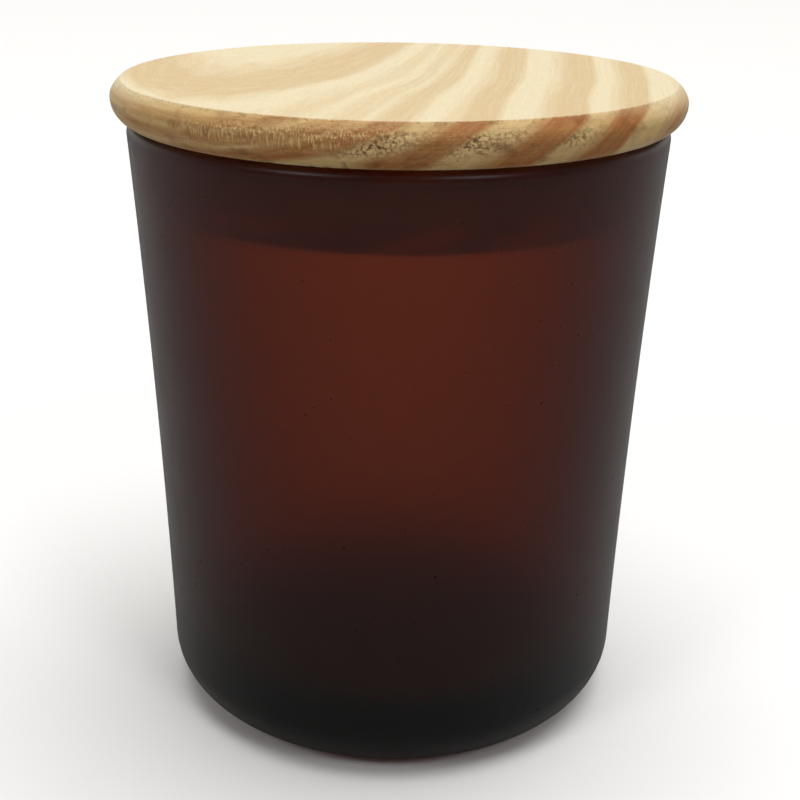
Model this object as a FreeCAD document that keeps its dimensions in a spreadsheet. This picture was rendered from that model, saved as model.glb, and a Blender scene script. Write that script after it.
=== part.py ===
import FreeCAD, Part
import os
import Sketcher

# A 30 cl candle jar with its lid, in millimetres, standing on Z = 0 with its axis on +Z.
# Three separate pieces: a pressed glass jar, a turned wooden lid whose plug goes into the
# mouth, and a finned silicone ring in a groove round the plug, which holds the lid in place.
# Heights of the jar are from the surface it stands on. Heights of the lid and of the ring
# are from the lid's underside, which lies on the jar's rim.

DIMENSIONS = (
    # the glass jar
    ("jar_height", 91.7, "base to rim"),
    ("mouth_radius", 40.0, "outside of the wall at the rim"),
    ("base_radius", 35.9, "outside of the wall, carried down to the base plane"),
    ("wall_waist", 0.55, "how far the wall draws in from a straight taper, at half height"),
    ("base_corner", 8.8, "rounding where the wall turns under"),
    ("wall_at_mouth", 4.0, "thickness of the wall at the rim"),
    ("floor_radius", 31.7, "inside of the wall, carried down to the floor"),
    ("floor_thickness", 9.0, "solid glass under the floor"),
    ("floor_corner", 6.0, "rounding between the floor and the wall"),
    ("rim_outer_round", 1.4, "fire-polished rim, outside"),
    ("rim_inner_round", 1.1, "fire-polished rim, inside"),
    ("punt_radius", 22.0, "hollow under the base"),
    ("punt_depth", 0.9, "height of that hollow at its middle"),
    # the wooden lid
    ("seat_gap", 0.05, "air left between the rim and the lid's underside"),
    ("flange_height", 6.2, "underside to flat top"),
    ("flange_radius", 42.0, "the flange at its widest"),
    ("widest_height", 3.7, "height of the widest place over the underside"),
    ("top_radius", 40.35, "edge of the flat top"),
    ("underside_radius", 39.0, "edge of the flat underside"),
    ("plug_radius", 34.6, "the plug that goes into the mouth"),
    ("plug_depth", 11.8, "underside of the flange to the plug's end"),
    ("plug_chamfer", 0.6, "broken edge of the plug"),
    ("groove_drop", 2.6, "underside of the flange to the groove"),
    ("groove_height", 5.4, "width of the groove, along the axis"),
    ("groove_depth", 1.9, "depth of the groove in the plug"),
    # the silicone ring
    ("ring_clearance", 0.1, "running clearance of the ring in its groove, each way"),
    ("ring_setback", 0.2, "how far the band lies under the plug's surface"),
    ("glass_clearance", 0.1, "air between a fin's tip and the glass"),
    ("fin_pitch", 1.7, "spacing of the fins"),
    ("fin_root", 1.0, "thickness of a fin at the band"),
    ("fin_tip", 0.5, "thickness of a fin where its rounded tip starts"),
    ("fin_round", 0.15, "how far the rounded tip stands out from there"),
)
FIN_ROWS = (-1, 0, 1)

ORIGIN_POINT = (-1, 1)
RADIUS_AXIS = -1
HEIGHT_AXIS = -2
ON_AXIS = "0"
TOLERANCE = 1e-4
CUBIC_CENTIMETRE = 1000


def dimension(expression):
    """Give an expression over bare dimension names as one that the sheet can work out."""
    words = expression.split(" ")
    names = [alias for alias, _, _ in DIMENSIONS]
    return " ".join("Dimensions." + word if word in names else word for word in words)


def make_sheet(document):
    sheet = document.addObject("Spreadsheet::Sheet", "Dimensions")
    for row, (alias, size, meaning) in enumerate(DIMENSIONS, start=1):
        sheet.set("A%d" % row, alias.replace("_", " "))
        sheet.set("B%d" % row, str(size))
        sheet.set("C%d" % row, meaning)
        sheet.setAlias("B%d" % row, alias)
    document.recompute()
    return sheet


def make_body(document, name, height=None):
    body = document.addObject("PartDesign::Body", name)
    body.Label = name
    if height:
        body.setExpression("Placement.Base.z", dimension(height))
    return body


def origin_feature(body, role):
    return next(item for item in body.Origin.OriginFeatures if item.Role == role)


def make_sketch(body, name, plane):
    sketch = body.newObject("Sketcher::SketchObject", name)
    sketch.AttachmentSupport = [(origin_feature(body, plane), "")]
    sketch.MapMode = "FlatFace"
    return sketch


def bend_radius(run, bulge):
    """Radius of an arc from the length of its chord squared and how far it bows from it."""
    return "( %s ) / 8 / %s + %s / 2" % (run, bulge, bulge)


def quarter_radius(out, along):
    """Radius of an arc that starts square to `out` and ends `out` and `along` away."""
    return "( ( %s ) ^ 2 + ( %s ) ^ 2 ) / 2 / ( %s )" % (out, along, out)


def start_arc(start, end, radius, side):
    """An arc from start to end that bows to the left (1) or the right (-1) of that way."""
    chord = end - start
    sagitta = radius - (radius ** 2 - chord.Length ** 2 / 4) ** 0.5
    left = FreeCAD.Vector(-chord.y, chord.x, 0).normalize()
    return Part.Arc(start, (start + end) / 2 + left * side * sagitta, end)


def end_near(sketch, edge, corner):
    """Number (1 start, 2 end) of the end of a sketch edge that lies at a corner."""
    gaps = {number: (sketch.getPoint(edge, number) - corner).Length for number in (1, 2)}
    return min(gaps, key=gaps.get)


def pin_corner(sketch, point, number, radius, height):
    """Hold a corner of an outline at a distance from the axis and at a height."""
    rules = (("DistanceX", "radius", radius, HEIGHT_AXIS), ("DistanceY", "height", height, RADIUS_AXIS))
    for kind, word, expression, axis in rules:
        if expression == ON_AXIS:
            sketch.addConstraint(Sketcher.Constraint("PointOnObject", *point, axis))
            continue
        size = sketch.evalExpression(dimension(expression))
        index = sketch.addConstraint(Sketcher.Constraint(kind, *ORIGIN_POINT, *point, size))
        name = "%s_%d" % (word, number)
        sketch.renameConstraint(index, name)
        sketch.setExpression("Constraints." + name, dimension(expression))


def draw_outline(body, name, corners, arcs=None):
    """Draw a closed outline in the half plane through the axis, held by the sheet.

    corners are (radius, height) expressions. arcs gives, for the side that leaves a corner,
    its radius and whether it bows to the left (1) or to the right (-1) of the way along it.
    """
    arcs = arcs or {}
    sketch = make_sketch(body, name, "XZ_Plane")
    places = []
    for radius, height in corners:
        along, up = (float(sketch.evalExpression(dimension(word))) for word in (radius, height))
        places.append(FreeCAD.Vector(along, up, 0))
    edges = []
    for number, start in enumerate(places):
        end = places[(number + 1) % len(places)]
        if number in arcs:
            expression, side = arcs[number]
            radius = float(sketch.evalExpression(dimension(expression)))
            edge = sketch.addGeometry(start_arc(start, end, radius, side))
            index = sketch.addConstraint(Sketcher.Constraint("Radius", edge, radius))
            sketch.renameConstraint(index, "bend_%d" % number)
            sketch.setExpression("Constraints.bend_%d" % number, dimension(expression))
        else:
            edge = sketch.addGeometry(Part.LineSegment(start, end))
        edges.append(edge)
    for number, corner in enumerate(places):
        leaving = (edges[number], end_near(sketch, edges[number], corner))
        arriving = (edges[number - 1], end_near(sketch, edges[number - 1], corner))
        sketch.addConstraint(Sketcher.Constraint("Coincident", *leaving, *arriving))
        pin_corner(sketch, leaving, number, *corners[number])
    return sketch


def turn(body, kind, name, sketch):
    """Revolution (adds) or Groove (cuts) of an outline, all the way round the axis."""
    feature = body.newObject("PartDesign::" + kind, name)
    feature.Profile = sketch
    feature.ReferenceAxis = (sketch, ["V_Axis"])
    feature.Angle = 360
    body.Document.recompute()
    if kind == "Groove" and feature.Shape.Volume >= feature.BaseFeature.Shape.Volume:
        raise RuntimeError(name + " cuts nothing")
    return feature


def circle_edge(shape, radius, height):
    """Name of the full circle of a given radius at a given height round the axis."""
    for number, edge in enumerate(shape.Edges, start=1):
        if not isinstance(edge.Curve, Part.Circle):
            continue
        same_size = abs(edge.Curve.Radius - radius) < TOLERANCE
        if same_size and abs(edge.Curve.Center.z - height) < TOLERANCE:
            return "Edge%d" % number
    raise RuntimeError("no circle of radius %g at height %g" % (radius, height))


def dress_edge(body, kind, name, radius, height, size):
    """Fillet or Chamfer the circle of a body that has a given radius and height."""
    base = body.Tip
    spot = [float(body.evalExpression(dimension(word))) for word in (radius, height)]
    feature = body.newObject("PartDesign::" + kind, name)
    feature.Base = (base, [circle_edge(base.Shape, *spot)])
    feature.setExpression("Radius" if kind == "Fillet" else "Size", dimension(size))
    body.Document.recompute()
    return feature


def make_glass_jar(document):
    body = make_body(document, "glass_jar")
    outer_run = "( mouth_radius - base_radius ) ^ 2 + jar_height ^ 2"
    outside = draw_outline(
        body,
        "outside_outline",
        [
            (ON_AXIS, ON_AXIS),
            ("base_radius", ON_AXIS),
            ("mouth_radius", "jar_height"),
            (ON_AXIS, "jar_height"),
        ],
        {1: (bend_radius(outer_run, "wall_waist"), 1)},
    )
    turn(body, "Revolution", "outside", outside)
    dress_edge(body, "Fillet", "base_rounding", "base_radius", ON_AXIS, "base_corner")

    mouth = "mouth_radius - wall_at_mouth"
    inner_run = "( %s - floor_radius ) ^ 2 + ( jar_height - floor_thickness ) ^ 2" % mouth
    cavity = draw_outline(
        body,
        "cavity_outline",
        [
            (ON_AXIS, "floor_thickness"),
            ("floor_radius", "floor_thickness"),
            (mouth, "jar_height"),
            (ON_AXIS, "jar_height"),
        ],
        {1: (bend_radius(inner_run, "wall_waist"), 1)},
    )
    turn(body, "Groove", "cavity", cavity)
    dress_edge(body, "Fillet", "floor_rounding", "floor_radius", "floor_thickness", "floor_corner")
    dress_edge(body, "Fillet", "rim_outside", "mouth_radius", "jar_height", "rim_outer_round")
    dress_edge(body, "Fillet", "rim_inside", mouth, "jar_height", "rim_inner_round")

    punt = draw_outline(
        body,
        "punt_outline",
        [(ON_AXIS, ON_AXIS), ("punt_radius", ON_AXIS), (ON_AXIS, "punt_depth")],
        {1: (quarter_radius("punt_depth", "punt_radius"), -1)},
    )
    turn(body, "Groove", "punt", punt)
    return body


def make_wooden_lid(document):
    body = make_body(document, "wooden_lid", "jar_height + seat_gap")
    flange = draw_outline(
        body,
        "flange_outline",
        [
            (ON_AXIS, ON_AXIS),
            ("underside_radius", ON_AXIS),
            ("flange_radius", "widest_height"),
            ("top_radius", "flange_height"),
            (ON_AXIS, "flange_height"),
        ],
        {
            1: (quarter_radius("flange_radius - underside_radius", "widest_height"), -1),
            2: (quarter_radius("flange_radius - top_radius", "flange_height - widest_height"), -1),
        },
    )
    turn(body, "Revolution", "flange", flange)

    circle = make_sketch(body, "plug_circle", "XY_Plane")
    start_radius = float(circle.evalExpression(dimension("plug_radius")))
    edge = circle.addGeometry(Part.Circle(FreeCAD.Vector(), FreeCAD.Vector(0, 0, 1), start_radius))
    circle.addConstraint(Sketcher.Constraint("Coincident", edge, 3, *ORIGIN_POINT))
    index = circle.addConstraint(Sketcher.Constraint("Radius", edge, start_radius))
    circle.renameConstraint(index, "radius")
    circle.setExpression("Constraints.radius", dimension("plug_radius"))
    plug = body.newObject("PartDesign::Pad", "plug")
    plug.Profile = circle
    plug.Reversed = True
    plug.setExpression("Length", dimension("plug_depth"))
    document.recompute()
    dress_edge(body, "Chamfer", "plug_edge", "plug_radius", "0 - plug_depth", "plug_chamfer")

    groove_top = "0 - groove_drop"
    groove_end = "0 - groove_drop - groove_height"
    past_plug = "plug_radius + groove_depth"
    groove_bottom = "plug_radius - groove_depth"
    groove = draw_outline(
        body,
        "seal_groove_outline",
        [
            (groove_bottom, groove_top),
            (groove_bottom, groove_end),
            (past_plug, groove_end),
            (past_plug, groove_top),
        ],
    )
    turn(body, "Groove", "seal_groove", groove)
    return body


def bore_radius(height):
    """Inside radius of the glass at a height over the base, as an expression."""
    share = "( %s - floor_thickness ) / ( jar_height - floor_thickness )" % height
    taper = "( mouth_radius - wall_at_mouth - floor_radius ) * %s" % share
    waist = "4 * wall_waist * %s * ( 1 - %s )" % (share, share)
    return "floor_radius + %s - %s" % (taper, waist)


def make_seal_ring(document):
    body = make_body(document, "seal_ring", "jar_height + seat_gap")
    bottom = "plug_radius - groove_depth + ring_clearance"
    surface = "plug_radius - ring_setback"
    upper = "0 - groove_drop - ring_clearance"
    lower = "0 - groove_drop - groove_height + ring_clearance"
    corners = [(bottom, upper), (bottom, lower), (surface, lower), (surface, upper)]
    turn(body, "Revolution", "band", draw_outline(body, "band_outline", corners))

    middle = "0 - groove_drop - groove_height / 2"
    for number, row in enumerate(FIN_ROWS, start=1):
        height = "%s + %d * fin_pitch" % (middle, row)
        glass = bore_radius("( jar_height + seat_gap + %s )" % height)
        rounding_start = "%s - glass_clearance - fin_round" % glass
        outline = draw_outline(
            body,
            "fin_outline_%d" % number,
            [
                (bottom, "%s - fin_root / 2" % height),
                (surface, "%s - fin_root / 2" % height),
                (rounding_start, "%s - fin_tip / 2" % height),
                (rounding_start, "%s + fin_tip / 2" % height),
                (surface, "%s + fin_root / 2" % height),
                (bottom, "%s + fin_root / 2" % height),
            ],
            {2: (bend_radius("fin_tip ^ 2", "fin_round"), -1)},
        )
        turn(body, "Revolution", "fin_%d" % number, outline)
    return body


def check_document(document, bodies):
    """Stop if a feature failed or a piece isn't one valid solid."""
    for item in document.Objects:
        if "Invalid" in item.State or "Error" in item.State:
            raise RuntimeError("%s failed: %s" % (item.Name, item.State))
        if item.isDerivedFrom("Sketcher::SketchObject") and not item.FullyConstrained:
            raise RuntimeError(item.Name + " isn't fully constrained")
    for body in bodies:
        shape = body.Shape
        if shape.isNull() or not shape.isValid() or len(shape.Solids) != 1:
            raise RuntimeError(body.Label + " isn't one valid solid")


def main():
    document = FreeCAD.newDocument("candle_jar")
    make_sheet(document)
    bodies = [make_glass_jar(document), make_wooden_lid(document), make_seal_ring(document)]
    document.recompute()
    check_document(document, bodies)
    os.makedirs("parts", exist_ok=True)
    for body in bodies:
        body.Shape.exportStep("parts/%s.step" % body.Label)
        print("%s: %.1f cm3" % (body.Label, body.Shape.Volume / CUBIC_CENTIMETRE))


main()
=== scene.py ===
import math
import bmesh
import bpy
from mathutils import Matrix, Vector, noise


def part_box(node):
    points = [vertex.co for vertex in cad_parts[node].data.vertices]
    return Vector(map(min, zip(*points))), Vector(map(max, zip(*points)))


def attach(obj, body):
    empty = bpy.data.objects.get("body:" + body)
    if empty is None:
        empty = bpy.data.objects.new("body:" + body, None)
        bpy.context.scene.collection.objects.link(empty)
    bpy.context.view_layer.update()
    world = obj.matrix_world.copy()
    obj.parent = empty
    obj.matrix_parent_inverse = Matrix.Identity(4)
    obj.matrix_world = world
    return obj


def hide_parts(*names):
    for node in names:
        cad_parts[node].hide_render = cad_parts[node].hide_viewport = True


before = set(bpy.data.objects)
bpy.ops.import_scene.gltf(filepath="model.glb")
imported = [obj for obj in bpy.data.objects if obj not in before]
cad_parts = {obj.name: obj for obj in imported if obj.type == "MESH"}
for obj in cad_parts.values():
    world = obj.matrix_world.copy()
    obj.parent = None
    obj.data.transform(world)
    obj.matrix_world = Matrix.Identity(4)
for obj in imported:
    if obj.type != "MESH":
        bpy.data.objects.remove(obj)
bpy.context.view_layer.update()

MM = 0.001

# ---------------------------------------------------------------- sizes from the frame
JAR_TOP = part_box("glass_jar")[1][2]
LID_LOW, LID_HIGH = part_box("wooden_lid")
SEAL_LOW, SEAL_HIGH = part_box("seal_ring")

# the jar's section, as in the CAD part
MOUTH_RADIUS = 40.0 * MM
FOOT_RADIUS = 35.9 * MM
WAIST = 0.55 * MM
FOOT_CORNER = 8.8 * MM
MOUTH_WALL = 4.0 * MM
FLOOR_RADIUS = 31.7 * MM
FLOOR_LEVEL = 9.0 * MM
FLOOR_CORNER = 6.0 * MM
RIM_OUTSIDE = 1.4 * MM
RIM_INSIDE = 1.1 * MM
PUNT_RADIUS = 22.0 * MM
PUNT_DEPTH = 0.9 * MM

# how finely it is turned
SEGMENTS = 256
WALL_STEPS = 48
CORNER_STEPS = 14
RIM_STEPS = 10
PUNT_STEPS = 12
NO_RADIUS = 1e-7
CREASE = math.radians(60)


# ---------------------------------------------------------------- meshes turned round the axis
def link(name, data):
    """A new object in the scene."""
    item = bpy.data.objects.new(name, data)
    bpy.context.scene.collection.objects.link(item)
    return item


def arc(centre, radius, start, end, steps):
    """Points of an arc as (radius, height), angles in degrees from the outward direction."""
    points = []
    for step in range(steps + 1):
        angle = math.radians(start + (end - start) * step / steps)
        points.append((centre[0] + radius * math.cos(angle), centre[1] + radius * math.sin(angle)))
    return points


def line(start, end, steps):
    """Evenly spaced points from start to end."""
    return [
        tuple(a + (b - a) * step / steps for a, b in zip(start, end))
        for step in range(steps + 1)
    ]


def without_repeats(points, gap=1e-7):
    """The points without those that lie on the one before."""
    kept = [points[0]]
    for point in points[1:]:
        if math.dist(point, kept[-1]) > gap:
            kept.append(point)
    return kept


def ring_faces(work, near, far):
    """Faces between two rings of vertices, of the same count or one twice the other, or a single vertex."""
    if len(near) < len(far):
        fine, coarse, flipped = far, near, True
    else:
        fine, coarse, flipped = near, far, False
    count = len(fine)
    for turn in range(count):
        after = (turn + 1) % count
        if len(coarse) == 1:
            corners = [fine[turn], fine[after], coarse[0]]
        elif len(coarse) == count:
            corners = [fine[turn], fine[after], coarse[after], coarse[turn]]
        elif turn % 2 == 0:
            corners = [fine[turn], fine[after], coarse[turn // 2]]
        else:
            start = turn // 2
            corners = [fine[turn], fine[after], coarse[(start + 1) % len(coarse)], coarse[start]]
        work.faces.new(corners[::-1] if flipped else corners)


def turned(name, rows):
    """A closed mesh turned round +Z from rows of (radius, height, segments), axis to axis."""
    work = bmesh.new()
    rings = []
    for radius, height, segments in rows:
        turns = range(segments) if radius > NO_RADIUS else range(1)
        rings.append([
            work.verts.new((
                radius * math.cos(math.tau * turn / segments),
                radius * math.sin(math.tau * turn / segments),
                height,
            ))
            for turn in turns
        ])
    for near, far in zip(rings, rings[1:]):
        ring_faces(work, near, far)
    bmesh.ops.remove_doubles(work, verts=work.verts, dist=1e-8)
    bmesh.ops.recalc_face_normals(work, faces=work.faces)
    mesh = bpy.data.meshes.new(name)
    work.to_mesh(mesh)
    work.free()
    for face in mesh.polygons:
        face.use_smooth = True
    return link(name, mesh)


# ---------------------------------------------------------------- the glass jar
def wall(low, low_radius, top_radius):
    """Radius and slope of a tapered, slightly waisted wall at a height, as a function."""
    span = JAR_TOP - low

    def at(height):
        share = (height - low) / span
        radius = low_radius + (top_radius - low_radius) * share - 4 * WAIST * share * (1 - share)
        slope = (top_radius - low_radius - 4 * WAIST * (1 - 2 * share)) / span
        return radius, slope

    return at


def bore():
    """The inside of the jar's wall."""
    return wall(FLOOR_LEVEL, FLOOR_RADIUS, MOUTH_RADIUS - MOUTH_WALL)


def corner_below(side, level, radius):
    """Rounding from a flat at a level up into a wall."""
    height = level + radius
    # the wall's slope changes with the height, so a few rounds settle where they meet
    for _ in range(4):
        lean = math.atan(side(height)[1])
        height = level + radius - radius * math.sin(lean)
    centre = (side(height)[0] - radius * math.cos(lean), level + radius)
    return arc(centre, radius, -90, -math.degrees(lean), CORNER_STEPS)


def punt():
    """The shallow hollow under the base, from the axis outwards."""
    bend = (PUNT_RADIUS ** 2 + PUNT_DEPTH ** 2) / (2 * PUNT_DEPTH)
    points = []
    for step in range(PUNT_STEPS + 1):
        radius = PUNT_RADIUS * step / PUNT_STEPS
        drop = bend - math.sqrt(bend ** 2 - radius ** 2)
        points.append((radius, PUNT_DEPTH - drop))
    return points


def along_wall(side, start, end):
    """Points along a wall from one height to another."""
    points = []
    for step in range(WALL_STEPS + 1):
        height = start + (end - start) * step / WALL_STEPS
        points.append((side(height)[0], height))
    return points


def outer_rim(side):
    """Where the rim's outside rounding starts, and the rounding up to the top."""
    lean = math.atan(side(JAR_TOP)[1])
    height = JAR_TOP - RIM_OUTSIDE * (1 + math.sin(lean))
    centre = (side(height)[0] - RIM_OUTSIDE * math.cos(lean), JAR_TOP - RIM_OUTSIDE)
    return height, arc(centre, RIM_OUTSIDE, -math.degrees(lean), 90, RIM_STEPS)


def inner_rim(side):
    """Where the rim's inside rounding ends, and the rounding down from the top."""
    lean = math.atan(side(JAR_TOP)[1])
    height = JAR_TOP - RIM_INSIDE * (1 - math.sin(lean))
    centre = (side(height)[0] + RIM_INSIDE * math.cos(lean), JAR_TOP - RIM_INSIDE)
    return height, arc(centre, RIM_INSIDE, 90, 180 - math.degrees(lean), RIM_STEPS)


def jar_profile():
    """The jar's section, from the middle of the base round to the middle of the floor."""
    outside = wall(0.0, FOOT_RADIUS, MOUTH_RADIUS)
    inside = bore()
    foot = corner_below(outside, 0.0, FOOT_CORNER)
    floor = corner_below(inside, FLOOR_LEVEL, FLOOR_CORNER)
    outer_height, outer_round = outer_rim(outside)
    inner_height, inner_round = inner_rim(inside)
    points = punt() + line((PUNT_RADIUS, 0.0), foot[0], 3) + foot
    points += along_wall(outside, foot[-1][1], outer_height) + outer_round
    points += inner_round + along_wall(inside, inner_height, floor[-1][1])
    points += floor[::-1] + line(floor[0], (0.0, FLOOR_LEVEL), 8)
    return without_repeats(points)


def make_jar():
    """The glass jar, one closed mesh."""
    jar = turned("amber_glass_jar", [(radius, height, SEGMENTS) for radius, height in jar_profile()])
    jar.data.materials.append(frosted_glass())
    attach(jar, "jar")
    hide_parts("glass_jar")


# ---------------------------------------------------------------- the wooden lid
UNDERSIDE = LID_HIGH[2] - 6.2 * MM
LID_TOP = LID_HIGH[2]
PLUG_END = LID_LOW[2]
LID_RADIUS = LID_HIGH[0]
WIDEST = UNDERSIDE + 3.7 * MM
TOP_RADIUS = LID_RADIUS - 1.65 * MM
UNDERSIDE_RADIUS = LID_RADIUS - 3.0 * MM
PLUG_RADIUS = 34.6 * MM
PLUG_CHAMFER = 0.6 * MM
GROOVE_DROP = 2.6 * MM
GROOVE_HEIGHT = 5.4 * MM
GROOVE_DEPTH = 1.9 * MM
EDGE_SEGMENTS = 1280
EDGE_ROW = 0.17 * MM
EDGE_BULGE = 2.0
TOP_CELL = 1.2 * MM
BOTTOM_CELL = 1.0 * MM
FLAT_INSET = 0.15 * MM
BESIDE = 0.1 * MM
FEWEST_SEGMENTS = 20
TORN_DEPTH = 0.3 * MM
DEEPEST_TEAR = 1.3
TURNING_DEPTH = 0.012 * MM
NOTCH_DEPTH = 0.55 * MM
# how far from the pith the end grain starts to be torn, and the size of its lumps, in mm
TORN_FROM = 52.0
LUMP_SIZE = 0.62
# the deeper nicks of the lower rim: length along the edge from the front, half width and height, in mm
NICKS = ((-6.9, 0.32, 1.1), (-17.5, 0.5, 0.5), (31.0, 0.4, 0.4))

# The board was sawn so that the tree's pith runs above the lid, left of the middle,
# and climbs towards the front: that gives the arches on the top and the slanting bands on
# the edge. Distances from the pith are in millimetres.
PITH_LEFT = 23.5
PITH_ABOVE = 42.7
PITH_CLIMB = 0.084
PITH_TURN = 0.03
PITH_DIP = 1.2
PITH_DIP_LENGTH = 22.0
# dark latewood of each ring: where it ends, how wide it is and how dark
LATEWOOD = (
    (37.0, 2.0, 0.25),
    (45.6, 4.2, 1.0),
    (48.6, 1.5, 0.45),
    (50.9, 1.6, 0.55),
    (53.4, 2.3, 0.85),
    (59.3, 4.0, 0.95),
    (67.1, 5.0, 1.0),
    (73.3, 4.2, 1.0),
    (80.5, 4.0, 0.95),
)
RING_RISE = 0.5
RING_FADE = 0.8


def smooth(share):
    """An even step from 0 to 1 as share goes from 0 to 1."""
    share = min(max(share, 0.0), 1.0)
    return share * share * (3.0 - 2.0 * share)


def grain_place(place):
    """Distance from the pith, length along the grain and distance round the pith, in mm."""
    x, y, z = place[0] / MM, place[1] / MM, (place[2] - LID_TOP) / MM
    along = x * math.sin(PITH_TURN) + y * math.cos(PITH_TURN)
    across = x * math.cos(PITH_TURN) - y * math.sin(PITH_TURN) + PITH_LEFT
    above = PITH_ABOVE - PITH_CLIMB * along - z + PITH_DIP * smooth(-along / PITH_DIP_LENGTH)
    wander = 0.7 * noise.noise(Vector((across / 18, along / 50, z / 18)))
    wander += 0.2 * noise.noise(Vector((across / 4 + 9, along / 40, z / 4)))
    radius = math.hypot(across, above) + wander
    return radius, along, math.atan2(across, above) * radius


def latewood(radius):
    """How dark the wood is at a distance from the pith, 0 to 1."""
    dark = 0.0
    for end, width, strength in LATEWOOD:
        rise = (radius - (end - width)) / (width * RING_RISE)
        fall = (end + RING_FADE - radius) / RING_FADE
        dark = max(dark, strength * min(rise, fall, 1.0))
    return dark


def halved(count, radius, cell):
    """Segments for a ring of a radius: count halved while its cells stay under a size."""
    while math.tau * radius / count < cell / 2 and count > FEWEST_SEGMENTS:
        count //= 2
    return count


def disc_rows(height, outer, cell, count):
    """Rows of a flat disc from the axis out to a radius."""
    steps = round(outer / cell)
    rows = [(0.0, height, 1)]
    for step in range(1, steps + 1):
        radius = outer * step / steps
        rows.append((radius, height, halved(count, radius, cell)))
    return rows


def eased(rows):
    """Rows with extra ones put in wherever the segments change by more than a factor of two."""
    done = [rows[0]]
    for radius, height, count in rows[1:]:
        last_radius, last_height, last_count = done[-1]
        jumps = 0 if 1 in (count, last_count) else abs(round(math.log2(count / last_count)))
        for jump in range(1, jumps):
            share = jump / jumps
            step_count = last_count * 2 ** jump if count > last_count else last_count // 2 ** jump
            middle = last_radius + (radius - last_radius) * share
            done.append((middle, last_height + (height - last_height) * share, step_count))
        done.append((radius, height, count))
    return done


def edge_profile():
    """The rounded edge from the flat top's rim to the underside's rim, in even steps."""
    rise, inset = LID_TOP - WIDEST, LID_RADIUS - TOP_RADIUS
    upper_steps = round(math.hypot(rise, inset) / EDGE_ROW)
    upper = []
    for step in range(upper_steps):
        share = 1.0 - step / upper_steps
        upper.append((LID_RADIUS - inset * share ** EDGE_BULGE, WIDEST + rise * share))
    drop, tuck = WIDEST - UNDERSIDE, LID_RADIUS - UNDERSIDE_RADIUS
    bend = (drop ** 2 + tuck ** 2) / (2 * tuck)
    end = -math.degrees(math.asin(drop / bend))
    lower_steps = round(-bend * math.radians(end) / EDGE_ROW)
    return upper + arc((LID_RADIUS - bend, WIDEST), bend, 0, end, lower_steps)


def plug_profile():
    """The flat underside, the plug's side with its groove, and its chamfer, with rows at the corners."""
    groove_top = UNDERSIDE - GROOVE_DROP
    groove_end = groove_top - GROOVE_HEIGHT
    groove_floor = PLUG_RADIUS - GROOVE_DEPTH
    chamfer = (PLUG_RADIUS, PLUG_END + PLUG_CHAMFER)
    points = line((UNDERSIDE_RADIUS - 4 * BESIDE, UNDERSIDE), (PLUG_RADIUS, UNDERSIDE), 4)
    points += line((PLUG_RADIUS, UNDERSIDE - BESIDE), (PLUG_RADIUS, groove_top), 4)
    points += line((PLUG_RADIUS - BESIDE, groove_top), (groove_floor, groove_top), 2)
    points += line((groove_floor, groove_top - BESIDE), (groove_floor, groove_end), 4)
    points += line((groove_floor + BESIDE, groove_end), (PLUG_RADIUS, groove_end), 2)
    points += line((PLUG_RADIUS, groove_end - BESIDE), chamfer, 4)
    return points + line(chamfer, (PLUG_RADIUS - PLUG_CHAMFER, PLUG_END), 2)[1:]


def lid_rows():
    """Rows of the whole lid, from the middle of the top round to the middle of the plug's end."""
    top = disc_rows(LID_TOP, TOP_RADIUS - FLAT_INSET, TOP_CELL, EDGE_SEGMENTS // 2)
    edge = [(radius, height, EDGE_SEGMENTS) for radius, height in edge_profile()]
    plug = [(radius, height, EDGE_SEGMENTS // 4) for radius, height in plug_profile()]
    end_radius = PLUG_RADIUS - PLUG_CHAMFER - 2 * BESIDE
    bottom = disc_rows(PLUG_END, end_radius, BOTTOM_CELL, EDGE_SEGMENTS // 4)
    return eased(top + edge + plug + bottom[::-1])


def along_edge(place):
    """Length round the edge from the front, to the right, in mm."""
    return math.atan2(place.x, -place.y) * LID_RADIUS / MM


def torn_grain(place, end_grain, radius, dark):
    """How torn and how fuzzy the end grain is at a place, 0 to about 1, and how deep, in TORN_DEPTHs."""
    share = (place.z - UNDERSIDE) / (LID_TOP - UNDERSIDE)
    patch = 0.75 + 0.6 * noise.noise(Vector((along_edge(place) / 5.0, place.z / (3 * MM), 3.0)))
    torn = smooth(end_grain * 3.2 - 2.0) * smooth(3.6 * share - 0.7) * smooth(4.2 - 4.2 * share)
    torn *= (1.0 - 0.85 * dark) * smooth((radius - TORN_FROM) / 3.0) * patch
    fuzzy = smooth(end_grain * 3.5 - 2.1) * smooth(3.0 * share - 0.8)
    fuzzy *= smooth((TORN_FROM + 4.0 - radius) / 4.0)
    if max(torn, fuzzy) < 0.02:
        return 0.0, 0.0, 0.0
    spot = Vector(place) / MM
    lumps = noise.voronoi(spot / LUMP_SIZE)[0][0]
    rough = noise.noise(spot / 0.4)
    strands = noise.noise(Vector((spot.x / 0.24, spot.y / 0.24, spot.z / 1.3)))
    depth = torn * (0.2 + 1.1 * lumps + 0.5 * rough) + fuzzy * (0.3 + 0.7 * strands)
    return torn, fuzzy, min(max(depth, 0.0), DEEPEST_TEAR)


def chip_depth(place):
    """Small chips and the deeper nicks along the lower rim, and nicks along the arris, in metres."""
    sideways = along_edge(place)
    depth = 0.0
    if place.z - UNDERSIDE < 0.5 * MM:
        chip = noise.noise(Vector((sideways / 1.1, 20.0, 0.0))) - 0.45
        depth += max(chip, 0.0) * 1.6 * MM
    for middle, width, height in NICKS:
        if abs(sideways - middle) < width and place.z - UNDERSIDE < height * MM:
            depth += NOTCH_DEPTH * (1.0 - abs(sideways - middle) / width)
    if abs(place.z - LID_TOP) < 0.3 * MM:
        nick = noise.noise(Vector((sideways / 0.5, 40.0, 0.0))) - 0.3
        depth += max(nick, 0.0) * 0.4 * MM
    return depth


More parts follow.
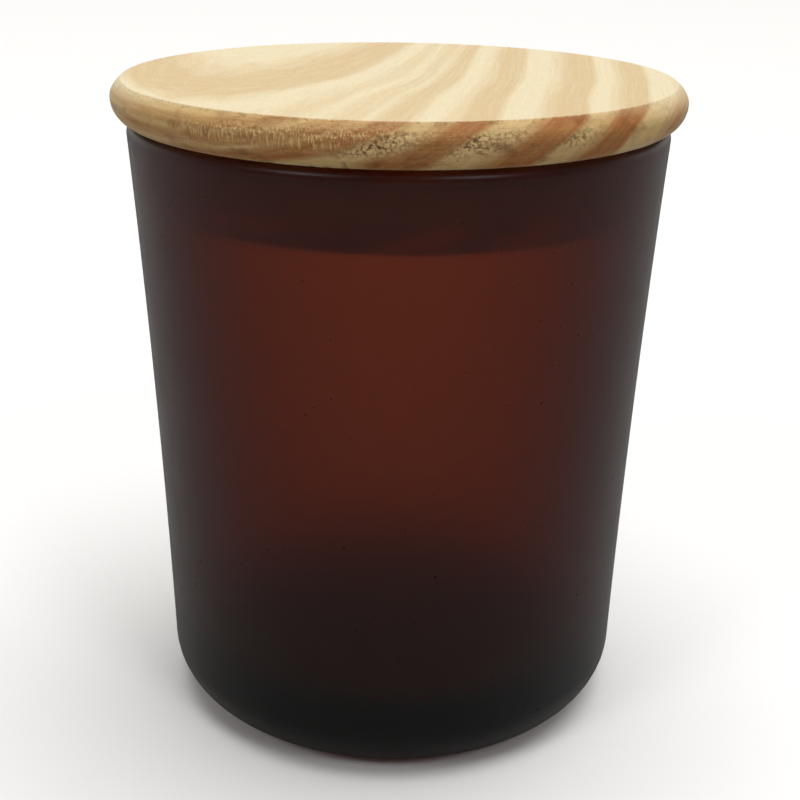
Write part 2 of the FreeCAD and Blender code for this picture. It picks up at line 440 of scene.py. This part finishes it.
def shape_lid(mesh):
    """Sink the torn grain and the chips into the lid, and note the grain at every vertex."""
    grain, surface = [], []
    moves = []
    for vertex in mesh.vertices:
        place, normal = vertex.co.copy(), vertex.normal.copy()
        radius, along, around = grain_place(place)
        end_grain = abs(normal.y * math.cos(PITH_TURN) + normal.x * math.sin(PITH_TURN))
        torn, fuzzy, sink = 0.0, 0.0, 0.0
        if place.z > UNDERSIDE - 0.05 * MM and place.xy.length > UNDERSIDE_RADIUS - 0.1 * MM:
            torn, fuzzy, depth = torn_grain(place, end_grain, radius, latewood(radius))
            turning = noise.noise(Vector((0.0, place.z / (0.35 * MM), place.x / (30 * MM))))
            sink = TORN_DEPTH * depth + chip_depth(place) + TURNING_DEPTH * (1.0 + turning)
        moves.append(place - normal * sink)
        grain += [radius, along, around]
        surface += [end_grain, torn, fuzzy]
    for vertex, place in zip(mesh.vertices, moves):
        vertex.co = place
    for name, values in (("grain", grain), ("surface", surface)):
        layer = mesh.attributes.new(name, "FLOAT_VECTOR", "POINT")
        layer.data.foreach_set("vector", values)


def make_lid():
    """The wooden lid, one closed mesh."""
    lid = turned("pine_lid", lid_rows())
    shape_lid(lid.data)
    lid.data.set_sharp_from_angle(angle=CREASE)
    lid.data.materials.append(pine())
    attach(lid, "lid")
    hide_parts("wooden_lid")


# ---------------------------------------------------------------- the silicone ring
RING_CLEARANCE = 0.1 * MM
RING_SETBACK = 0.2 * MM
GLASS_CLEARANCE = 0.1 * MM
FIN_PITCH = 1.7 * MM
FIN_ROOT = 1.0 * MM
FIN_TIP = 0.5 * MM
FIN_ROUND = 0.15 * MM


def ring_rows():
    """The ring's section, from its upper inside corner down, round its fins and back."""
    inner = PLUG_RADIUS - GROOVE_DEPTH + RING_CLEARANCE
    surface = PLUG_RADIUS - RING_SETBACK
    middle = (SEAL_LOW[2] + SEAL_HIGH[2]) / 2
    half = (SEAL_HIGH[2] - SEAL_LOW[2]) / 2
    points = line((inner, middle + half), (inner, middle - half), 6)
    points.append((surface, middle - half))
    glass = bore()
    for row in (-1, 0, 1):
        height = middle + row * FIN_PITCH
        tip = glass(height)[0] - GLASS_CLEARANCE
        points.append((surface, height - FIN_ROOT / 2))
        points += arc((tip - FIN_ROUND, height - FIN_TIP / 2 + FIN_ROUND), FIN_ROUND, -80, 0, 4)
        points += arc((tip - FIN_ROUND, height + FIN_TIP / 2 - FIN_ROUND), FIN_ROUND, 0, 80, 4)
        points.append((surface, height + FIN_ROOT / 2))
    points.append((surface, middle + half))
    points.append(points[0])
    return [(radius, height, SEGMENTS) for radius, height in points]


def make_ring():
    """The silicone ring in the lid's groove."""
    ring = turned("silicone_ring", ring_rows())
    ring.data.set_sharp_from_angle(angle=CREASE)
    ring.data.materials.append(clear_silicone())
    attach(ring, "seal")
    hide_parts("seal_ring")


# ---------------------------------------------------------------- materials
def new_material(name):
    """A material with one principled shader. Gives it, its nodes, the shader and the output."""
    material = bpy.data.materials.new(name)
    material.use_nodes = True
    tree = material.node_tree
    tree.nodes.clear()
    output = tree.nodes.new("ShaderNodeOutputMaterial")
    shader = tree.nodes.new("ShaderNodeBsdfPrincipled")
    tree.links.new(shader.outputs[0], output.inputs["Surface"])
    return material, tree, shader, output


def add(tree, kind, inputs=None, **settings):
    """A node with its settings, and its inputs set or linked. Gives the node."""
    item = tree.nodes.new(kind)
    for name, value in settings.items():
        setattr(item, name, value)
    for key, value in (inputs or {}).items():
        if isinstance(value, bpy.types.NodeSocket):
            tree.links.new(value, item.inputs[key])
        else:
            item.inputs[key].default_value = value
    return item


def maths(tree, operation, first, second=0.0, clamp=False):
    """One sum on two values."""
    return add(tree, "ShaderNodeMath", {0: first, 1: second}, operation=operation, use_clamp=clamp).outputs[0]


def mix(tree, factor, first, second, blend="MIX"):
    """Two colours blended by a factor from 0 to 1."""
    node = add(tree, "ShaderNodeMix", data_type="RGBA", blend_type=blend)
    for key, value in ((0, factor), (6, first), (7, second)):
        if isinstance(value, bpy.types.NodeSocket):
            tree.links.new(value, node.inputs[key])
        else:
            node.inputs[key].default_value = value
    return node.outputs[2]


def stretched(tree, vector, scale):
    """A vector scaled by its own amount along each axis."""
    return add(tree, "ShaderNodeVectorMath", {0: vector, 1: scale}, operation="MULTIPLY").outputs[0]


def noise_at(tree, vector, scale, detail=2.0, roughness=0.5):
    """Noise from 0 to 1 with its own stretch along each axis."""
    place = stretched(tree, vector, scale)
    inputs = {"Vector": place, "Scale": 1.0, "Detail": detail, "Roughness": roughness}
    return add(tree, "ShaderNodeTexNoise", inputs).outputs["Fac"]


def spread(tree, value, low, high, to_low=0.0, to_high=1.0):
    """A value's range from low to high, spread over another range and clamped to it."""
    inputs = {"Value": value, "From Min": low, "From Max": high, "To Min": to_low, "To Max": to_high}
    return add(tree, "ShaderNodeMapRange", inputs).outputs[0]


def multiply(tree, first, second):
    """The product of two values."""
    return maths(tree, "MULTIPLY", first, second)


def grey(tree, value):
    """A grey as bright as a value."""
    return add(tree, "ShaderNodeCombineColor", {0: value, 1: value, 2: value}).outputs[0]


def object_place(tree):
    """Where a point is on the object, in metres."""
    return add(tree, "ShaderNodeTexCoord").outputs["Object"]


def attribute(tree, name):
    """A vector noted at the mesh's vertices."""
    return add(tree, "ShaderNodeAttribute", attribute_name=name).outputs["Vector"]


def bump(tree, height, strength, distance):
    """A surface direction bent by a height."""
    inputs = {"Height": height, "Strength": strength, "Distance": distance}
    return add(tree, "ShaderNodeBump", inputs).outputs[0]


def latewood_at(tree, radius):
    """Latewood darkness from the distance from the pith, by the same rings as the mesh."""
    dark = 0.0
    for end, width, strength in LATEWOOD:
        start = end - width
        rise = spread(tree, radius, start, start + width * RING_RISE, 0.0, strength)
        fall = spread(tree, radius, end, end + RING_FADE, strength, 0.0)
        dark = maths(tree, "MAXIMUM", maths(tree, "MINIMUM", rise, fall), dark)
    return dark


PALE_PINE = (0.765, 0.665, 0.44, 1)
TAN_PINE = (0.65, 0.49, 0.265, 1)
EDGE_PINE = (0.68, 0.47, 0.20, 1)
LATE_EDGE = (0.40, 0.155, 0.036, 1)
# a dark brown: painted shade in the gaps between torn lumps, and the colour of the dark dashes and specks
DARK_SPECK_AND_GAP_SHADE = (0.14, 0.05, 0.012, 1)
TORN_LUMP = (0.82, 0.60, 0.29, 1)
STAIN = (0.55, 0.42, 0.34, 1)
SEED_IN_GLASS = (0.35, 0.18, 0.10, 1)
CLEAR = (0.93, 0.94, 0.92, 1)
MILKY = (0.84, 0.85, 0.82, 1)
WHITE = (1, 1, 1, 1)
AMBER = (0.75, 0.45, 0.0, 1)
AMBER_DENSITY = 800.0


def sound_pine(tree, grain, end_grain, streaks, lines):
    """Colour of sound wood: the rings, fine streaks along the grain, and darker end grain."""
    waver = noise_at(tree, grain, (0.7, 0.02, 0.3), 2.0)
    from_pith = add(tree, "ShaderNodeSeparateXYZ", {0: grain}).outputs[0]
    radius = maths(tree, "ADD", from_pith, spread(tree, waver, 0.0, 1.0, -0.12, 0.12))
    uneven = spread(tree, streaks, 0.25, 0.75, -0.2, 0.2)
    tone = maths(tree, "ADD", latewood_at(tree, radius), uneven, clamp=True)
    flat_colour = mix(tree, tone, PALE_PINE, TAN_PINE)
    edge_colour = mix(tree, tone, EDGE_PINE, LATE_EDGE)
    colour = mix(tree, spread(tree, end_grain, 0.1, 0.55), flat_colour, edge_colour)
    line_shade = grey(tree, spread(tree, lines, 0.3, 0.7, 0.94, 1.04))
    return mix(tree, 1.0, colour, line_shade, "MULTIPLY")


def stained(tree, place, end_grain, colour):
    """Cloudy stains where the end grain drank something in."""
    stains = noise_at(tree, place, (330, 330, 500), 2.0)
    amount = multiply(tree, spread(tree, stains, 0.55, 0.72), end_grain)
    return mix(tree, amount, colour, mix(tree, 1.0, colour, STAIN, "MULTIPLY"))


def painted_gap_shade(tree, place, torn):
    """Painted shade in the gaps of torn end grain, between crumbled lumps: how much to darken there, 0 to 1.
    """
    wobble = add(tree, "ShaderNodeTexNoise", {"Vector": place, "Scale": 2200.0}).outputs["Color"]
    shift = stretched(tree, wobble, (0.5 * MM,) * 3)
    wobbled = add(tree, "ShaderNodeVectorMath", {0: shift, 1: place}).outputs[0]
    lumps = add(tree, "ShaderNodeTexVoronoi", {"Vector": wobbled, "Scale": 1900.0}).outputs["Distance"]
    crumbs = noise_at(tree, place, (2300, 2300, 2800), 3.0, 0.65)
    broken = maths(tree, "ADD", lumps, spread(tree, crumbs, 0.35, 0.65, 0.28, -0.28))
    return multiply(tree, spread(tree, broken, 0.45, 0.72), torn)


def pale_threads(tree, place, fuzzy):
    """Short upright fibres that stand up from fuzzy end grain."""
    strands = noise_at(tree, place, (4200, 4200, 700), 2.0)
    return multiply(tree, spread(tree, strands, 0.5, 0.65, 0.0, 0.75), fuzzy)


def torn_pine(tree, colour, torn, shaded_gaps, fuzzy, threads):
    """The colour with its torn and its fuzzy places, and painted shade in the gaps between the torn lumps."""
    colour = mix(tree, multiply(tree, torn, 0.45), colour, TORN_LUMP)
    # painted shade: the gaps between the lumps darkened in the colour
    colour = mix(tree, shaded_gaps, colour, DARK_SPECK_AND_GAP_SHADE)
    colour = mix(tree, multiply(tree, fuzzy, 0.35), colour, LATE_EDGE)
    return mix(tree, threads, colour, TORN_LUMP)


def turning_lines(tree, place, end_grain, torn, colour):
    """Fine level lines left by the turning tool, where the end grain isn't torn."""
    turning = noise_at(tree, place, (60, 60, 5200), 2.0)
    shade = grey(tree, spread(tree, turning, 0.3, 0.7, 0.84, 1.1))
    smooth_cut = maths(tree, "SUBTRACT", end_grain, torn, clamp=True)
    return mix(tree, smooth_cut, colour, mix(tree, 1.0, colour, shade, "MULTIPLY"))


def pitted(tree, place, end_grain, colour):
    """Dark dashes along the arris of the top, and rare specks on the end grain."""
    height = add(tree, "ShaderNodeSeparateXYZ", {0: place}).outputs[2]
    arris = spread(tree, height, LID_TOP - 0.7 * MM, LID_TOP - 0.2 * MM)
    dashes = noise_at(tree, place, (1300, 1300, 3600), 2.0)
    chips = multiply(tree, spread(tree, dashes, 0.58, 0.66, 0.0, 0.8), arris)
    colour = mix(tree, multiply(tree, chips, end_grain), colour, DARK_SPECK_AND_GAP_SHADE)
    specks = noise_at(tree, place, (2600, 2600, 3400), 1.0)
    flecks = multiply(tree, spread(tree, specks, 0.66, 0.74, 0.0, 0.6), end_grain)
    return mix(tree, flecks, colour, DARK_SPECK_AND_GAP_SHADE)


def pine():
    """Bare pine, from the grain and the torn places noted at the mesh's vertices."""
    material, tree, shader, _ = new_material("bare_pine")
    place = object_place(tree)
    grain = attribute(tree, "grain")
    end_grain, torn, fuzzy = add(tree, "ShaderNodeSeparateXYZ", {0: attribute(tree, "surface")}).outputs
    streaks = noise_at(tree, grain, (2.2, 0.015, 0.3), 2.0)
    lines = noise_at(tree, grain, (9.0, 0.035, 2.4), 2.0)
    # painted shade for the gaps between torn lumps; the same mask also sinks the bump there
    shaded_gaps = painted_gap_shade(tree, place, torn)
    threads = pale_threads(tree, place, fuzzy)

    colour = sound_pine(tree, grain, end_grain, streaks, lines)
    colour = stained(tree, place, end_grain, colour)
    colour = torn_pine(tree, colour, torn, shaded_gaps, fuzzy, threads)
    colour = turning_lines(tree, place, end_grain, torn, colour)
    colour = pitted(tree, place, end_grain, colour)
    tree.links.new(colour, shader.inputs["Base Color"])
    tree.links.new(spread(tree, streaks, 0.2, 0.8, 0.48, 0.7), shader.inputs["Roughness"])
    shader.inputs["Specular IOR Level"].default_value = 0.3

    relief = maths(tree, "ADD", lines, multiply(tree, streaks, 0.6))
    relief = maths(tree, "SUBTRACT", relief, multiply(tree, shaded_gaps, 3.0))
    relief = maths(tree, "ADD", relief, multiply(tree, threads, 1.5))
    tree.links.new(bump(tree, relief, 0.25, 0.2 * MM), shader.inputs["Normal"])
    return material


def spots(tree, place, spacing, size, seed):
    """Rare round spots: 1 in them and 0 between them, with the size as a share of the spacing."""
    moved = add(tree, "ShaderNodeVectorMath", {0: place, 1: (seed, seed, seed)}, operation="ADD").outputs[0]
    cells = add(tree, "ShaderNodeTexVoronoi", {"Vector": moved, "Scale": 1.0 / spacing}).outputs["Distance"]
    return spread(tree, cells, size * 0.6, size, 1.0, 0.0)


def glass_seeds(tree, place):
    """Small seeds in crowds, and a few larger ones anywhere."""
    crowd = spread(tree, noise_at(tree, place, (55, 55, 70)), 0.38, 0.5)
    fine = multiply(tree, spots(tree, place, 2.2 * MM, 0.075, 0.0), crowd)
    return maths(tree, "MAXIMUM", fine, spots(tree, place, 7 * MM, 0.05, 5.0))


def glass_relief(tree, place, blotches):
    """The satin skin: fine grit, slow waves and a few flat dents."""
    grit = noise_at(tree, place, (3800, 3800, 3800), 2.0, 0.6)
    dents = spots(tree, stretched(tree, place, (1, 1, 2.5)), 5 * MM, 0.07, 2.0)
    relief = maths(tree, "SUBTRACT", grit, multiply(tree, dents, 4.0))
    return maths(tree, "ADD", relief, multiply(tree, blotches, 2.0))


def frosted_glass():
    """Amber glass with a satin skin. The amber is in the body, so thick glass is darker."""
    material, tree, shader, output = new_material("frosted_amber_glass")
    place = object_place(tree)
    shader.inputs["IOR"].default_value = 1.25
    shader.inputs["Transmission Weight"].default_value = 0.997
    shader.inputs["Specular Tint"].default_value = (0.2, 0.2, 0.2, 1)
    shader.inputs["Coat Weight"].default_value = 0.4
    shader.inputs["Coat Roughness"].default_value = 0.32
    colour = mix(tree, glass_seeds(tree, place), WHITE, SEED_IN_GLASS)
    tree.links.new(colour, shader.inputs["Base Color"])
    blotches = noise_at(tree, place, (90, 90, 120), 4.0)
    tree.links.new(spread(tree, blotches, 0.25, 0.75, 0.42, 0.49), shader.inputs["Roughness"])
    skin = bump(tree, glass_relief(tree, place, blotches), 0.12, 0.1 * MM)
    for name in ("Normal", "Coat Normal"):
        tree.links.new(skin, shader.inputs[name])

    body = tree.nodes.new("ShaderNodeVolumeAbsorption")
    body.inputs["Color"].default_value = AMBER
    body.inputs["Density"].default_value = AMBER_DENSITY
    tree.links.new(body.outputs[0], output.inputs["Volume"])
    return material


def clear_silicone():
    """Slightly milky silicone rubber."""
    material, tree, shader, _ = new_material("clear_silicone")
    place = object_place(tree)
    shader.inputs["IOR"].default_value = 1.41
    shader.inputs["Transmission Weight"].default_value = 0.52
    cloud = noise_at(tree, place, (160, 160, 260), 3.0)
    tree.links.new(mix(tree, spread(tree, cloud, 0.3, 0.7), CLEAR, MILKY), shader.inputs["Base Color"])
    tree.links.new(spread(tree, cloud, 0.3, 0.7, 0.36, 0.46), shader.inputs["Roughness"])
    skin = noise_at(tree, place, (2500, 2500, 2500), 2.0)
    tree.links.new(bump(tree, skin, 0.03, 0.1 * MM), shader.inputs["Normal"])
    return material


# ---------------------------------------------------------------- camera, lights and floor
CAMERA_BACK = 209.2 * MM
CAMERA_HEIGHT = 126.5 * MM
CAMERA_DOWN = 0.364
CAMERA_ROLL = 0.014
LENS = 63.0
FRAMING_SHIFT = 0.0063

STUDIO_COLOUR = (1.0, 0.95, 0.89, 1)
FRONT_LIGHT = 0.12
BACK_LIGHT = 0.76
CEILING_LIGHT = 2.15
CEILING_SPREAD = math.radians(56)
CEILING_LEAN = math.radians(8)
FRONT_LAMP = 4.0
FRONT_LAMP_SIZE = 0.5
FRONT_LAMPS_AT = ((-0.95, -0.95, 1.15), (0.75, -1.05, 1.15))


def make_camera():
    """The photograph's viewpoint: in front, above the lid, looking down."""
    data = bpy.data.cameras.new("camera")
    data.lens = LENS
    data.sensor_width = 36.0
    data.shift_x = FRAMING_SHIFT
    data.clip_start = 0.01
    camera = link("camera", data)
    tilt = Matrix.Rotation(math.pi / 2 - CAMERA_DOWN, 4, "X") @ Matrix.Rotation(CAMERA_ROLL, 4, "Z")
    camera.matrix_world = Matrix.Translation((0, -CAMERA_BACK, CAMERA_HEIGHT)) @ tilt
    bpy.context.scene.camera = camera


def make_world():
    """A studio that is dim in front of the jar and bright behind it. The camera sees it as white."""
    world = bpy.data.worlds.new("studio")
    world.use_nodes = True
    tree = world.node_tree
    direction = add(tree, "ShaderNodeSeparateXYZ", {0: add(tree, "ShaderNodeTexCoord").outputs["Generated"]})
    strength = spread(tree, direction.outputs[1], -0.3, 0.6, FRONT_LIGHT, BACK_LIGHT)
    seen = add(tree, "ShaderNodeLightPath").outputs["Is Camera Ray"]
    tree.links.new(maths(tree, "MAXIMUM", strength, seen), tree.nodes["Background"].inputs["Strength"])
    colour = mix(tree, seen, STUDIO_COLOUR, WHITE)
    tree.links.new(colour, tree.nodes["Background"].inputs["Color"])
    bpy.context.scene.world = world


def make_ceiling_light():
    """Soft light from above and a little from the right, the same all over the floor."""
    data = bpy.data.lights.new("ceiling", "SUN")
    data.energy = CEILING_LIGHT
    data.angle = CEILING_SPREAD
    link("ceiling", data).rotation_euler.y = CEILING_LEAN


def make_front_lamps():
    """Two small soft lamps high in front, for the streaks of light along the jar's rim."""
    data = bpy.data.lights.new("front", "AREA")
    data.shape = "DISK"
    data.size = FRONT_LAMP_SIZE
    data.energy = FRONT_LAMP
    for number, place in enumerate(FRONT_LAMPS_AT):
        lamp = link("front_%d" % number, data)
        lamp.location = place
        lamp.rotation_euler = (Vector((0, 0, JAR_TOP)) - lamp.location).to_track_quat("-Z", "Y").to_euler()


# the floor looks white, but throws back only as much light as the dim surroundings of the jar did
FLOOR_SEEN = (0.9, 0.9, 0.9, 1)
FLOOR_BOUNCE = (0.36, 0.355, 0.35, 1)
FLOOR_SIZE = 4.0
FLOOR_GAP = 0.2 * MM


def make_floor():
    """A pale floor, just under the jar."""
    mesh = bpy.data.meshes.new("floor")
    work = bmesh.new()
    bmesh.ops.create_circle(work, cap_ends=True, segments=96, radius=FLOOR_SIZE)
    work.to_mesh(mesh)
    work.free()
    floor = link("floor", mesh)
    material, tree, shader, _ = new_material("pale_floor")
    seen = add(tree, "ShaderNodeLightPath").outputs["Is Camera Ray"]
    tree.links.new(mix(tree, seen, FLOOR_BOUNCE, FLOOR_SEEN), shader.inputs["Base Color"])
    shader.inputs["Roughness"].default_value = 0.9
    shader.inputs["Specular IOR Level"].default_value = 0.1
    floor.data.materials.append(material)
    floor.location.z = -FLOOR_GAP


make_camera()
make_world()
make_ceiling_light()
make_front_lamps()
make_floor()
make_jar()
make_lid()
make_ring()
bpy.context.scene.view_settings.view_transform = "Standard"
